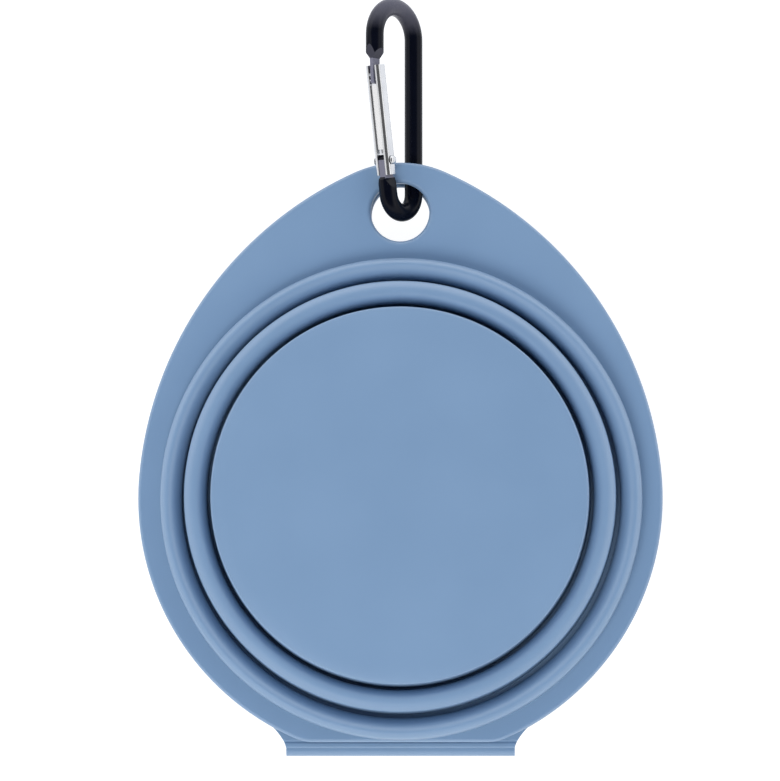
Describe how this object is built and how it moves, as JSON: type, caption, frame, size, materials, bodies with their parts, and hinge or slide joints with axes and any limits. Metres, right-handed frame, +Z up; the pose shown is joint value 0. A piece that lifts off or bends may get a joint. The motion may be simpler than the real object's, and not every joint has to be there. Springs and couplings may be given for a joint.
{
  "type": "double folding bowl",
  "caption": "Twin collapsible silicone bowls on egg-shaped panels joined by a fold, shut and pressed flat, with a carabiner clipped through the hole at the tip.",
  "frame": {"origin": "centre of the lower bowl's flat base, on the surface that the shut bowls lie on", "axes": "+Z up, along both bowls' axes; +Y from the fold to the tip with the carabiner; +X along the fold"},
  "size_m": [0.1306, 0.1897, 0.0303],
  "materials": {
    "silicone": "matte moulded silicone, dusty blue",
    "black_metal": "smooth black coating",
    "bright_metal": "bright, lightly polished"
  },
  "bodies": {
    "lower_base": {"lower_base_cup": "silicone", "lower_inner_web": "silicone"},
    "lower_ring": {"lower_middle_ring": "silicone", "lower_outer_web": "silicone"},
    "lower_panel": {"lower_panel": "silicone", "hinge_fold": "silicone"},
    "upper_panel": {"upper_panel": "silicone"},
    "upper_ring": {"upper_middle_ring": "silicone", "upper_outer_web": "silicone"},
    "upper_base": {"upper_base_cup": "silicone", "upper_inner_web": "silicone"},
    "carabiner": {"carabiner_body": "black_metal", "gate_rivet": "bright_metal"},
    "gate": {"gate": "bright_metal", "latch_pin": "bright_metal", "gate_plunger": "bright_metal", "gate_spring": "bright_metal"}
  },
  "joints": [
    {"name": "lower_inner_stage", "type": "slide", "parent": "lower_base", "child": "lower_ring", "axis": [0, 0, 1], "range_m": [0, 0.02], "deforming": ["lower_inner_web"]},
    {"name": "lower_outer_stage", "type": "slide", "parent": "lower_ring", "child": "lower_panel", "axis": [0, 0, 1], "range_m": [0, 0.016], "deforming": ["lower_outer_web"]},
    {"name": "fold_hinge", "type": "hinge", "parent": "lower_panel", "child": "upper_panel", "pos_m": [0, -0.0629, 0.01515], "axis": [1, 0, 0], "range_deg": [0, 180], "deforming": ["hinge_fold"]},
    {"name": "upper_outer_stage", "type": "slide", "parent": "upper_panel", "child": "upper_ring", "axis": [0, 0, 1], "range_m": [0, 0.016], "deforming": ["upper_outer_web"]},
    {"name": "upper_inner_stage", "type": "slide", "parent": "upper_ring", "child": "upper_base", "axis": [0, 0, 1], "range_m": [0, 0.02], "deforming": ["upper_inner_web"]},
    {"name": "carabiner_swing", "type": "hinge", "parent": "upper_panel", "child": "carabiner", "pos_m": [0, 0.0714, 0.01935], "axis": [0, 0, 1], "range_deg": [-45, 45]},
    {"name": "gate_pivot", "type": "hinge", "parent": "carabiner", "child": "gate", "pos_m": [-0.00371, 0.0839, 0.0241], "axis": [-0.788, 0, -0.6157], "range_deg": [0, 20], "stiffness_Nm_per_rad": 0.03, "springref_deg": -17.19}
  ]
}
